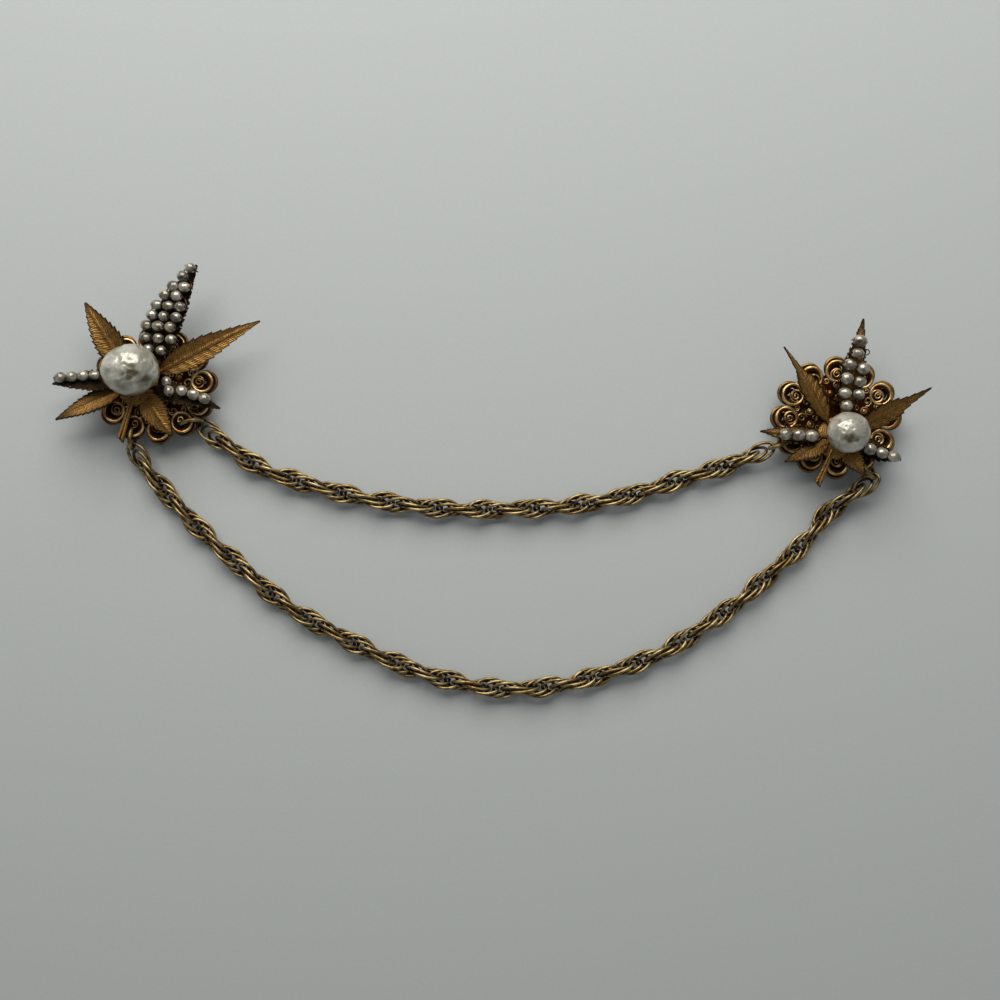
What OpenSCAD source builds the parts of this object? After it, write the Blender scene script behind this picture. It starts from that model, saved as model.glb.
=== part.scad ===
// Chain brooch: two pearl leaf brooches on pierced scroll rosettes, joined by two rope chains.
// It lies on its pins: X runs from the left brooch to the right one, Y up the page, Z off the table.

/* [Rosettes] */
// Distance from the rosette's centre to the middle of a front lobe
lobe_reach = 9.9; // [9.5:0.1:10.5]
// How much rounder than wide the ring of lobes is, top to bottom
lobe_squash = 0.92; // [0.92:0.01:1]
// Radius of the wire that rings a lobe, to the middle of the wire
lobe_r = 2; // [1.8:0.05:2]
// Thickness of the raised scroll wire
scroll_wire = 0.66; // [0.5:0.02:0.7]
// Thickness of each pierced plate
plate_t = 0.5; // [0.4:0.05:0.6]
// Number of lobes round each plate
lobes = 12; // [12]
// How much smaller the left rosette is than the right one
left_rosette_scale = 0.96; // [0.9:0.01:1]

/* [Leaves] */
// Thickness of the stamped leaf metal
leaf_t = 0.5; // [0.4:0.05:0.8]
// Serrations along each side of a leaflet
teeth = 9; // [6:1:12]
// How far each serration cuts into the edge, as a share of the half width
tooth_depth = 0.16; // [0.05:0.01:0.25]
// Height of the raised midrib
leaf_rib = 0.22; // [0.1:0.02:0.3]
// Width of the left leaf spray, tip to tip
left_spray_w = 40.8; // [40:0.2:42]
// Width of the right leaf spray, tip to tip
right_spray_w = 32.8; // [32:0.2:34]

/* [Pearls] */
// Diameter of a seed pearl on the left spray
left_seed_d = 2.05; // [1.8:0.05:2.1]
// Diameter of a seed pearl on the right spray
right_seed_d = 2.3; // [2:0.05:2.35]
// Diameter of the drilled hole in a seed pearl
seed_hole_d = 0.65; // [0.6:0.05:0.7]
// Thickness of the binding wire
thread_d = 0.25; // [0.2:0.05:0.3]
// Long diameter of the left centre pearl
left_pearl_d = 11.3; // [10:0.1:12]
// Long diameter of the right centre pearl
right_pearl_d = 8.4; // [7:0.1:9]

/* [Chains] */
// Thickness of the link wire
link_wire = 0.63; // [0.6:0.01:0.64]
// Half length of an oval link, to the middle of its wire
link_a = 2.86; // [2.84:0.01:2.88]
// Half width of a link, to the middle of its wire
link_b = 1.68; // [1.66:0.01:1.7]
// Radius of a link's round ends
link_end_r = 1.2; // [1.1:0.05:1.3]
// Spacing of the links along the chain
link_pitch = 1.62; // [1.61:0.01:1.63]
// Lean of each link out of the line of the chain
link_lean = 4.2; // [3.8:0.1:4.6]
// Roll of each link about the line of the chain
link_roll = 10; // [9:0.5:11]
// Sideways offset of each link from the line of the chain
link_side = 0.14; // [0.12:0.01:0.16]
// Turn of each link on the last one, past the half turn that puts it on the other side
link_turn = 30; // [29:0.5:31]
// Thickness of a jump ring's wire
ring_wire = 0.8; // [0.7:0.02:0.9]
// Radius of a jump ring, to the middle of its wire
ring_r = 2.1; // [2:0.05:2.3]

/* [Hidden] */
$fn = 48;

gold = [0.62, 0.48, 0.26];
leaf_gold = [0.55, 0.39, 0.2];
pearl_white = [0.86, 0.84, 0.78];
seed_grey = [0.7, 0.69, 0.63];
dark_wire = [0.25, 0.2, 0.14];

// Heights of the layers above the table
back_z = 3.4;
front_z = 4.4;
spray_z = 5.9;
spray_t = 0.6;
spray_r = 4.2;
pearl_lift = 1;
gap = 0.1;
wire_r = scroll_wire/2;
post_r = 0.7;
post_hole_r = 0.8;

// Rosette centres, leaf roots and pearl centres
left_rosette = [-66.3, 19.1];
right_rosette = [68.1, 12.8];
left_root = [-69.3, 19.3];
right_root = [68, 8.7];
left_pearl = [-69.1, 21.6];
right_pearl = [68.9, 9.6];
left_pearl_tall = 9.4;
right_pearl_tall = 7.4;
left_turn = 5;
right_turn = 0;
// Turn of each chain's first link, and the extra turn over its whole length that brings its last
// link round to its ring
upper_turn = -29;
lower_turn = 2;
upper_twist = 27;
lower_twist = 0;

// Leaflets of a spray, one row each, with angles in degrees
// [direction, reach, width, side bow, rise of the tip, arch, roll, cup]
left_leaves = [
    [62, 26, 7.2, 0.2, 2.4, 0.8, -18, 0],
    [26.2, 27.3, 5.2, 0, 2.2, 1.6, 14, 0.3],
    [-16.2, 17.1, 4.6, 0.5, 0.4, 0.9, -30, 0],
    [-55.3, 12.4, 5.6, 0, 0.3, 0.8, 10, 0.3],
    [204, 17.2, 4.9, 0, 0.6, 0.9, 30, 0.3],
    [180, 16.2, 5, -0.7, 1, 1, 34, 0],
    [121.5, 18.4, 6, 0, 1.8, 1.2, -12, 0.3]
];
right_leaves = [
    [79.4, 23.5, 4.8, -0.1, 2.4, 0.8, 4, 0.1],
    [29.3, 19.6, 5.2, 0, 3.4, 0.8, 34, 0.4],
    [-19.7, 12.8, 4.6, 0, 0.3, 0.8, -16, 0],
    [-56, 8.8, 4.4, 0, 0.2, 0.8, 10, 0.3],
    [204, 11.4, 4.2, 0, 0.2, 0.9, 24, 0.3],
    [175, 15.3, 3.8, 0, 0.8, 0.9, 10, 0],
    [122.3, 20.8, 5.8, 0, 3.4, 0.8, 32, 0.4]
];
// Stem of a spray: [direction, length]
left_stem = [-107, 11.4];
right_stem = [-114, 9.8];

// Seed pearls, one row of the table for each threaded row
// [leaflet, along it, across it, pearls, step along, step across]
left_rows = [
    [0, 7.2, 0, 2, 0.9, -2.7],
    [0, 8.9, 1.6, 3, 1, -2.6],
    [0, 11.1, 2.7, 3, 0.9, -2.5],
    [0, 13.3, 2.5, 3, 0.9, -2.5],
    [0, 15.5, 2.6, 3, 0.9, -2.4],
    [0, 17.9, 2, 2, 0.9, -2.4],
    [0, 20.2, 1.3, 2, 0.8, -2.3],
    [0, 22.7, 0.5, 1, 0, 0],
    [0, 24.85, -0.1, 1, 0, 0],
    [2, 5.8, 1, 2, 1.2, -1.9],
    [2, 9.4, -0.1, 3, 2.3, 0],
    [5, 7.6, 0, 4, 2.2, 0]
];
right_rows = [
    [0, 6.3, 0.3, 1, 0, 0],
    [0, 8.6, 1.2, 2, 0.2, -2.7],
    [0, 11.4, 1.4, 2, -0.2, -2.6],
    [0, 14.1, 1.4, 2, -0.3, -2.7],
    [0, 16.4, 0.3, 1, 0, 0],
    [0, 18.9, 0.3, 1, 0, 0],
    [2, 6, -0.7, 3, 2.45, 0.1],
    [5, 5.7, 0.4, 3, 2.6, 0.1]
];

// Routes of the chains: [x, y, z] of points along the middle of the rope, left to right
upper_route = [
    [-56.03, 10.19, 2.42], [-53.72, 8.35, 2.3], [-50.14, 5.84, 2.2], [-45, 2.7, 2.15],
    [-34.5, -0.8, 2.15], [-24, -3.2, 2.15], [-12, -4.9, 2.15], [0, -5.3, 2.15],
    [14, -4.7, 2.15], [27, -2.6, 2.15], [37.82, 0.7, 2.15], [48.01, 3.81, 2.26],
    [53.28, 6.14, 3.15]
];
lower_route = [
    [-69.83, 5.21, 2.95], [-66.76, 0.93, 2.54], [-60.4, -6.53, 2.15], [-50, -16.4, 2.15],
    [-40, -24.6, 2.15], [-28, -31.4, 2.15], [-14.5, -37.4, 2.15], [-2, -40.4, 2.15],
    [8, -40.8, 2.15], [21, -38.4, 2.15], [34, -33.6, 2.15], [46, -26, 2.15],
    [54.5, -19, 2.15], [62, -12, 2.15], [66.56, -6.37, 2.2], [70.79, -2.97, 2.99],
    [74.07, -0.26, 3.92]
];

// Eight points a stretch of a smooth curve through the route, then the lengths along it
function bend(a, b, c, d, t) = 0.5*(2*b + (c - a)*t + (2*a - 5*b + 4*c - d)*t*t
    + (3*b - a - 3*c + d)*t*t*t);
function smooth(route) = let (n = len(route)) [
    for (i = [0:n - 2], j = [0:i == n - 2 ? 8 : 7])
        bend(route[max(i - 1, 0)], route[i], route[i + 1], route[min(i + 2, n - 1)], j/8)
];
function lengths(line) = [
    for (i = 0, s = 0; i < len(line);
        s = s + (i + 1 < len(line) ? norm(line[i + 1] - line[i]) : 0), i = i + 1) s
];
function table(line, s, axis) = [for (i = [0:len(line) - 1]) [s[i], line[i][axis]]];
function at(tables, s) = [for (k = [0:2]) lookup(s, tables[k])];

// Width of a leaflet along its length, from a narrow foot to a long point, as a share of the widest
leaf_foot = 0.2;
function blade(u) = pow(sin(180*pow(u, 0.72)), 0.95)*(1.08 - 0.3*u);
function leaf_width(t) = 0.2*pow(1 - t, 2) + 0.07 + blade(max(0, t - leaf_foot)/(1 - leaf_foot));
function leaf_start(row) = (spray_r - 0.8)/row[1];
function leaf_height(row, t) = let (u = max(0, t - leaf_start(row))/(1 - leaf_start(row)))
    row[4]*u + row[5]*4*u*(1 - u);
function leaf_bow(row, t) = row[3]*sin(180*t);

// Section of a leaflet, across a blade with a raised rib and a turned up edge
function leaf_section(row, t, share) = let (
    half = row[2]/2*leaf_width(t)*share,
    cup = row[7]*leaf_width(t),
    rib = leaf_rib*(1 - 0.8*t),
    thick = leaf_t*(1 - 0.3*t),
    tilt = row[6],
    spots = [
        [-1, cup], [-0.45, cup*0.25], [0, rib], [0.45, cup*0.25], [1, cup],
        [1, cup - thick*0.6], [0, -thick], [-1, cup - thick*0.6]
    ]
) [
    for (p = spots) [
        t*row[1],
        leaf_bow(row, t) + p[0]*half*cos(tilt) - p[1]*sin(tilt),
        leaf_height(row, t) + p[0]*half*sin(tilt) + p[1]*cos(tilt)
    ]
];

module leaflet(row) {
    first = leaf_start(row);
    steps = [for (k = [0:teeth - 1], out = [0, 1]) [first + (1 - first)*(k + out*0.72)/teeth,
        out == 1 ? 1 : 1 - tooth_depth]];
    sections = concat([for (s = steps) leaf_section(row, s[0], s[1])], [leaf_section(row, 1, 1)]);
    count = len(sections);
    size = len(sections[0]);
    points = [for (s = sections, p = s) p];
    faces = concat(
        [[for (j = [0:size - 1]) size - 1 - j]],
        [for (i = [0:count - 2], j = [0:size - 1], half = [0, 1]) let (k = (j + 1)%size)
            half == 0 ? [i*size + j, i*size + k, (i + 1)*size + k]
                : [i*size + j, (i + 1)*size + k, (i + 1)*size + j]],
        [[for (j = [0:size - 1]) (count - 1)*size + j]]
    );
    rotate([0, 0, row[0]]) polyhedron(points, faces, convexity = 6);
}

// The leaflets, stem and middle of a spray, stamped as one and drawn out to its full width
module leaf_spray(leaves, stem, post, width) {
    difference() {
        resize([width, 0, 0]) union() {
            cylinder(r = spray_r, h = spray_t - 0.1, $fn = 32);
            translate([0, 0, spray_t]) for (row = leaves) leaflet(row);
            rotate([0, 0, stem[0]]) translate([2.5, 0, spray_t - 0.15]) rotate([0, 92, 0])
                cylinder(r1 = 0.55, r2 = 0.85, h = stem[1] - 2.5, $fn = 16);
        }
        translate([post[0], post[1], -1]) cylinder(r = post_hole_r, h = 4);
    }
}

// Centre of lobe k of a ring of them
function lobe_spot(reach, turn, k) = let (a = turn + k*360/lobes)
    [reach*cos(a), reach*lobe_squash*sin(a)];

module torus(r, wire) {
    rotate_extrude() translate([r, 0]) circle(r = wire, $fn = 24);
}

// One pierced plate with its ring of wire lobes. A dressed plate, the front one, also has beads, a
// collar round the post's hole, and an inner scroll in each lobe but the bare ones, where a jump
// ring passes.
module filigree(reach, ring, turn, bare, dressed, hole, hole_r) {
    difference() {
        union() {
            cylinder(r = reach - 1.9, h = plate_t);
            for (k = [0:lobes - 1]) translate(lobe_spot(reach, turn, k)) {
                cylinder(r = ring + 0.2, h = plate_t);
                translate([0, 0, plate_t]) torus(ring, wire_r);
            }
            if (dressed) for (k = [0:lobes - 1]) {
                translate([0, 0, plate_t]) translate(lobe_spot(5.4, turn + 15, k)) sphere(r = 0.5);
            }
        }
        for (k = [0:lobes - 1]) {
            translate(lobe_spot(reach, turn, k)) translate([0, 0, -1]) cylinder(r = 1.35, h = 3);
            translate(lobe_spot(6.9, turn, k)) translate([0, 0, -1]) cylinder(r = 0.8, h = 3);
        }
        translate(concat(hole, [-1])) cylinder(r = hole_r, h = 3);
    }
    if (dressed) translate(concat(hole, [plate_t/2])) difference() {
        cylinder(r = 2.2, h = spray_z - front_z - gap - plate_t/2);
        translate([0, 0, -1]) cylinder(r = hole_r, h = 4);
    }
    if (dressed) for (k = [0:lobes - 1]) if (len(search(k, bare)) == 0) {
        translate(lobe_spot(reach - 0.75, turn, k)) translate([0, 0, plate_t - 0.1])
            torus(1.15, 0.26);
    }
}

// Middle of each pearl of diameter d in a row, the way the row runs, and the way off the leaf, in
// the leaflet's own frame. A row is straight, as its taut thread is.
seed_lift = 0.25;
function leaf_up(row) = [0, -sin(row[6]), cos(row[6])];
function leaf_side(row) = [0, cos(row[6]), sin(row[6])];
function unit(v) = v/norm(v);
function row_end(row, line, i, d) = let (
    along = line[1] + i*line[4],
    across = line[2] + i*line[5],
    t = along/row[1],
    lift = leaf_rib + d/2 + seed_lift
) [along, leaf_bow(row, t), leaf_height(row, t)] + across*leaf_side(row) + lift*leaf_up(row);
function seed_spot(row, line, i, d) = let (
    last = max(line[3] - 1, 1),
    a = row_end(row, line, 0, d),
    b = row_end(row, line, last, d)
) a + i/last*(b - a);
function seed_way(row, line, d) = line[3] == 1 ? -leaf_side(row)
    : unit(seed_spot(row, line, 1, d) - seed_spot(row, line, 0, d));

module turned_to(way) {
    rotate([0, acos(way[2]), atan2(way[1], way[0])]) children();
}

module drilled_pearl(d) {
    rotate_extrude() difference() {
        circle(d = d);
        translate([-d, -d]) square([d + seed_hole_d/2, 2*d]);
    }
}

module seed_row(leaves, line, d) {
    row = leaves[line[0]];
    rotate([0, 0, row[0]]) for (i = [0:line[3] - 1]) translate(seed_spot(row, line, i, d))
        turned_to(seed_way(row, line, d)) drilled_pearl(d);
}

// A row's thread: past its first and last pearls it turns down to its feet on the leaf
thread_spare = 0.23;
thread_drop = 1;
function thread_end(row, line, last, d) = let (i = last ? line[3] - 1 : 0, end = last ? 1 : -1)
    seed_spot(row, line, i, d) + end*(d/2 + thread_spare)*seed_way(row, line, d);
function thread_foot(row, line, last, d) =
    thread_end(row, line, last, d) - thread_drop*leaf_up(row);

// A bent wire: straight lengths that stop just inside a bead at each bend
bend_bead = 0.01;
module strand(a, b) {
    way = unit(b - a);
    inset = 0.04;
    translate(a + inset*way) turned_to(way)
        cylinder(d = thread_d, h = norm(b - a) - 2*inset, $fn = 16);
}
module bead(spot, way) {
    translate(spot) turned_to(unit(way)) sphere(r = thread_d/2 + bend_bead, $fn = 16);
}

// The binding wire of one spray: on the first leaflet it runs on from row to row, side by side
module row_thread(row, line, d) {
    foot = [for (last = [false, true]) thread_foot(row, line, last, d)];
    end = [for (last = [false, true]) thread_end(row, line, last, d)];
    rotate([0, 0, row[0]]) {
        strand(end[0], end[1]);
        for (k = [0, 1]) {
            strand(foot[k], end[k]);
            bead(end[k], end[1] - end[0]);
            bead(foot[k], end[k] - foot[k]);
        }
    }
}
module binding_wire(leaves, rows, d) {
    for (line = rows) row_thread(leaves[line[0]], line, d);
    rotate([0, 0, leaves[0][0]]) for (i = [0:len(rows) - 2])
        if (rows[i][0] == 0 && rows[i + 1][0] == 0)
            strand(thread_foot(leaves[0], rows[i], i%2 == 0, d),
                thread_foot(leaves[0], rows[i + 1], i%2 == 0, d));
}

// A lumpy pearl, longest along X, with shallow hollows where the nacre is pinched
module lumpy_pearl(long, across, tall, lumps) {
    around = 28;
    rows = 14;
    function skin(a, b) = let (
        d = [cos(b)*cos(a), cos(b)*sin(a), sin(b)],
        swell = [for (l = lumps) l[3]*exp(-pow(norm(d - [l[0], l[1], l[2]])/l[4], 2))],
        r = 1 + swell*[for (l = lumps) 1]
    ) [d[0]*long/2*r, d[1]*across/2*r, d[2]*tall/2*r];
    points = concat([skin(0, -90)],
        [for (i = [1:rows - 1], j = [0:around - 1]) skin(j*360/around, -90 + i*180/rows)],
        [skin(0, 90)]);
    top = len(points) - 1;
    faces = concat(
        [for (j = [0:around - 1]) [0, 1 + j, 1 + (j + 1)%around]],
        [for (i = [0:rows - 3], j = [0:around - 1]) let (k = (j + 1)%around)
            [1 + i*around + j, 1 + (i + 1)*around + j, 1 + (i + 1)*around + k, 1 + i*around + k]],
        [for (j = [0:around - 1]) [top, top - around + (j + 1)%around, top - around + j]]
    );
    polyhedron(points, faces, convexity = 4);
}

// Lumps and hollows: [direction x, y, z, height as a share of the radius, spread]
left_lumps = [
    [0.6, -0.5, 0.6, -0.05, 0.35], [0.1, -0.7, 0.7, -0.06, 0.3], [-0.7, 0.2, 0.6, 0.03, 0.5],
    [0.3, 0.5, 0.8, 0.03, 0.4], [0.8, 0.3, -0.2, -0.04, 0.5]
];
right_lumps = [
    [0.2, -0.5, 0.8, -0.05, 0.35], [-0.5, 0.2, 0.8, 0.03, 0.4], [0.7, 0.4, 0.5, 0.03, 0.5],
    [-0.6, -0.6, 0.3, -0.04, 0.4]
];

function pearl_z(tall) = spray_z + spray_t + pearl_lift + tall/2;

module center_pearl(spot, long, across, tall, turn, lumps) {
    translate([spot[0], spot[1], pearl_z(tall)]) difference() {
        rotate([0, 0, turn]) lumpy_pearl(long, across, tall, lumps);
        translate([0, 0, -tall]) cylinder(r = post_hole_r, h = tall - 0.5);
    }
}

// Post through the layers into the pearl, with a domed cup under it and a riveted foot
module pearl_post(spot, tall) {
    foot_z = back_z - 0.45;
    cup_z = spray_z + spray_t;
    translate([spot[0], spot[1], 0]) {
        translate([0, 0, foot_z]) cylinder(r = post_r, h = pearl_z(tall) - 0.7 - foot_z);
        translate([0, 0, cup_z + gap]) cylinder(r1 = 0.9, r2 = 1.9, h = pearl_lift - 2*gap);
        translate([0, 0, foot_z]) cylinder(r = 1.3, h = back_z - gap - foot_z);
    }
}

// Bar pin with its hinge block, stem and catch, one plain piece
module bar_pin(centre, turn, lower) {
    bar_l = 18;
    bar_w = 2.2;
    bar_t = 0.45;
    stem_z = 1.2;
    translate([centre[0], centre[1], 0]) rotate([0, 0, turn]) translate([0, -lower, 0]) {
        translate([-bar_l/2, -bar_w/2, back_z - gap - bar_t]) cube([bar_l, bar_w, bar_t]);
        for (end = [-1, 1]) translate([end*(bar_l/2 - 1), 0, 0])
            translate([-1, -bar_w/2, 0]) cube([2, bar_w, back_z - gap - bar_t/2]);
        translate([-bar_l/2 + 0.5, 0, stem_z]) rotate([0, 90, 0]) cylinder(r = 0.45, h = bar_l - 1);
    }
}

module jump_ring(centre, azimuth, tilt) {
    translate(centre) rotate([0, 0, azimuth]) rotate([90 + tilt, 0, 0]) torus(ring_r, ring_wire/2);
}

// One oval link in the XY plane, long along X, of two round ends and two flatter sides. The sides
// are a hair thinner, and tuck a short way into the ends
tuck = 0.1;
module link() {
    reach = link_a - link_end_r;
    side_r = (reach*reach + link_b*link_b - link_end_r*link_end_r)/(2*(link_b - link_end_r));
    spread = atan2(reach, side_r - link_b);
    side_spread = spread + tuck/side_r*180/PI;
    for (end = [0, 180]) rotate([0, 0, end]) {
        translate([reach, 0, 0]) rotate([0, 0, spread - 90]) rotate_extrude(angle = 180 - 2*spread)
            translate([link_end_r, 0]) circle(d = link_wire, $fn = 24);
        translate([0, link_b - side_r, 0]) rotate([0, 0, 90 - side_spread])
            rotate_extrude(angle = 2*side_spread)
                translate([side_r, 0]) circle(d = link_wire - 0.02, $fn = 24);
    }
}

// Rope chain along a route: links pass through their neighbours, and the whole turns as a rope.
// 0.6 mm either side of a link's middle give the way the route runs there.
module rope(route, turn, twist) {
    line = smooth(route);
    s = lengths(line);
    tables = [for (axis = [0:2]) table(line, s, axis)];
    total = s[len(s) - 1];
    count = round(total/link_pitch);
    step = total/count;
    for (i = [0:count]) {
        here = at(tables, i*step);
        way = at(tables, i*step + 0.6) - at(tables, i*step - 0.6);
        translate(here) rotate([0, -atan2(way[2], norm([way[0], way[1]])), atan2(way[1], way[0])])
            rotate([turn + twist*i/count + i*(180 + link_turn), 0, 0]) translate([0, link_side, 0])
                rotate([link_roll, 0, 0]) rotate([0, link_lean, 0]) link();
    }
}

module left_back_filigree() {
    color(gold) translate([left_rosette[0], left_rosette[1], back_z]) scale(left_rosette_scale)
        filigree(lobe_reach + 0.7, lobe_r + 0.1, left_turn, [], false,
            (left_pearl - left_rosette)/left_rosette_scale, post_hole_r/left_rosette_scale);
}
module right_back_filigree() {
    color(gold) translate([right_rosette[0], right_rosette[1], back_z])
        filigree(lobe_reach + 0.7, lobe_r + 0.1, right_turn, [], false,
            right_pearl - right_rosette, post_hole_r);
}
module left_front_filigree() {
    color(gold) translate([left_rosette[0], left_rosette[1], front_z]) scale(left_rosette_scale)
        filigree(lobe_reach, lobe_r, left_turn, [8, 10], true,
            (left_pearl - left_rosette)/left_rosette_scale, post_hole_r/left_rosette_scale);
}
module right_front_filigree() {
    color(gold) translate([right_rosette[0], right_rosette[1], front_z])
        filigree(lobe_reach, lobe_r, right_turn, [7, 10], true,
            right_pearl - right_rosette, post_hole_r);
}
module left_leaf_spray() {
    color(leaf_gold) translate([left_root[0], left_root[1], spray_z])
        leaf_spray(left_leaves, left_stem, left_pearl - left_root, left_spray_w);
}
module right_leaf_spray() {
    color(leaf_gold) translate([right_root[0], right_root[1], spray_z])
        leaf_spray(right_leaves, right_stem, right_pearl - right_root, right_spray_w);
}
module left_seed_pearls() {
    color(seed_grey) translate([left_root[0], left_root[1], spray_z + spray_t])
        for (line = left_rows) seed_row(left_leaves, line, left_seed_d);
}
module right_seed_pearls() {
    color(seed_grey) translate([right_root[0], right_root[1], spray_z + spray_t])
        for (line = right_rows) seed_row(right_leaves, line, right_seed_d);
}
module left_binding_wires() {
    color(dark_wire) translate([left_root[0], left_root[1], spray_z + spray_t])
        binding_wire(left_leaves, left_rows, left_seed_d);
}
module right_binding_wires() {
    color(dark_wire) translate([right_root[0], right_root[1], spray_z + spray_t])
        binding_wire(right_leaves, right_rows, right_seed_d);
}
module left_center_pearl() {
    color(pearl_white) center_pearl(left_pearl, left_pearl_d, 9.9, left_pearl_tall, 8, left_lumps);
}
module right_center_pearl() {
    color(pearl_white)
        center_pearl(right_pearl, right_pearl_d, 8, right_pearl_tall, 0, right_lumps);
}
module left_pearl_post() {
    color(gold) pearl_post(left_pearl, left_pearl_tall);
}
module right_pearl_post() {
    color(gold) pearl_post(right_pearl, right_pearl_tall);
}
module left_pin() {
    color(gold) bar_pin(left_rosette, 20, 4.4);
}
module right_pin() {
    color(gold) bar_pin(right_rosette, -20, 0);
}
module left_upper_ring() {
    color(gold) jump_ring([-59.11, 11.64, 3.8], 12.6, -16.7);
}
module left_lower_ring() {
    color(gold) jump_ring([-70.75, 8.85, 3.97], -94.7, 0.7);
}
module right_upper_ring() {
    color(gold) jump_ring([56.95, 7.56, 4.36], 200.4, -3.4);
}
module right_lower_ring() {
    color(gold) jump_ring([74.52, 2.74, 4.25], -56, 26.9);
}
module upper_chain() {
    color(gold) rope(upper_route, upper_turn, upper_twist);
}
module lower_chain() {
    color(gold) rope(lower_route, lower_turn, lower_twist);
}

left_back_filigree();
left_front_filigree();
left_leaf_spray();
left_seed_pearls();
left_binding_wires();
left_center_pearl();
left_pearl_post();
left_pin();
left_upper_ring();
left_lower_ring();
right_back_filigree();
right_front_filigree();
right_leaf_spray();
right_seed_pearls();
right_binding_wires();
right_center_pearl();
right_pearl_post();
right_pin();
right_upper_ring();
right_lower_ring();
upper_chain();
lower_chain();
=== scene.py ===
import math
import random
from collections import namedtuple

import bpy
import numpy as np
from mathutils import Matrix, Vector, noise


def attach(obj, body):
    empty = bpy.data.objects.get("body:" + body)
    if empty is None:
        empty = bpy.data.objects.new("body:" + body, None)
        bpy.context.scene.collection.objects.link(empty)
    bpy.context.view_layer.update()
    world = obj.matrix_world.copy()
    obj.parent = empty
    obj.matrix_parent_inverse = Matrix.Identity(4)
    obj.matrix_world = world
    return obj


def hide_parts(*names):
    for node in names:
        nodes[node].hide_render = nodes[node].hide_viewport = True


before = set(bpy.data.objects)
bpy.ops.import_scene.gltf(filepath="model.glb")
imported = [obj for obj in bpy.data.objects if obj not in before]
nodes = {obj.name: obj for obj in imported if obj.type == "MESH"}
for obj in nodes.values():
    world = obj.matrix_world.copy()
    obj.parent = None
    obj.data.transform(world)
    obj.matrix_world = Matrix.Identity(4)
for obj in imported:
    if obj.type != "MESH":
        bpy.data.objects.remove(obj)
bpy.context.view_layer.update()
mm = 0.001


def plug(tree, socket, value):
    if isinstance(value, Signal):
        tree.links.new(value.socket, socket)
    else:
        socket.default_value = value


def mathNode(tree, operation, *values):
    made = tree.nodes.new("ShaderNodeMath")
    made.operation = operation
    for socket, value in zip(made.inputs, values):
        plug(tree, socket, value)
    return Signal(tree, made.outputs[0])


# a node's output on which sums can be written
class Signal:
    def __init__(self, tree, socket):
        self.tree = tree
        self.socket = socket

    def __add__(self, other):
        return mathNode(self.tree, "ADD", self, other)

    def __radd__(self, other):
        return mathNode(self.tree, "ADD", other, self)

    def __sub__(self, other):
        return mathNode(self.tree, "SUBTRACT", self, other)

    def __rsub__(self, other):
        return mathNode(self.tree, "SUBTRACT", other, self)

    def __mul__(self, other):
        return mathNode(self.tree, "MULTIPLY", self, other)

    def __rmul__(self, other):
        return mathNode(self.tree, "MULTIPLY", other, self)

    def sine(self):
        return mathNode(self.tree, "SINE", self)

    def absolute(self):
        return mathNode(self.tree, "ABSOLUTE", self)


# a tree with one way to add any node: its type, its settings, then its sockets
class Tree:
    def node(self, kind, settings=None, sockets=None, out=0):
        made = self.tree.nodes.new(kind)
        for key, value in (settings or {}).items():
            setattr(made, key, value)
        for key, value in (sockets or {}).items():
            plug(self.tree, made.inputs[key], value)
        return Signal(self.tree, made.outputs[out])


class Finish(Tree):
    def __init__(self, name):
        self.material = bpy.data.materials.new(name)
        self.material.use_nodes = True
        self.tree = self.material.node_tree
        self.tree.nodes.clear()
        self.place = self.node("ShaderNodeTexCoord", out="Object")

    def speckle(self, scale, detail=4.0):
        return self.node("ShaderNodeTexNoise", None,
                         {"Vector": self.place, "Scale": scale, "Detail": detail, "Roughness": 0.55})

    def step(self, value, low, high):
        return self.node("ShaderNodeMapRange", {"interpolation_type": "SMOOTHSTEP"},
                         {"Value": value, "From Min": low, "From Max": high}, out="Result")

    def blend(self, factor, first, second):
        return self.node("ShaderNodeMix", {"data_type": "RGBA"}, {0: factor, 6: first, 7: second}, out=2)

    def bump(self, height, depth):
        return self.node("ShaderNodeBump", None, {"Height": height, "Distance": depth, "Strength": 1.0},
                         out="Normal")

    # 0 deep in a recess to 1 on an open surface, over the reach given: the mask for painted shade and dirt in
    # recesses
    def openness(self, reach, low, high):
        shade = self.node("ShaderNodeAmbientOcclusion", {"samples": 8}, {"Distance": reach}, out="AO")
        return self.step(shade, low, high)

    def mark(self):
        return self.node("ShaderNodeAttribute", {"attribute_name": "mark"}, out="Fac")

    def close(self, **sockets):
        shader = self.node("ShaderNodeBsdfPrincipled", None,
                           {key.replace("_", " "): value for key, value in sockets.items()})
        output = self.tree.nodes.new("ShaderNodeOutputMaterial")
        self.tree.links.new(shader.socket, output.inputs["Surface"])
        return self.material


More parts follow.
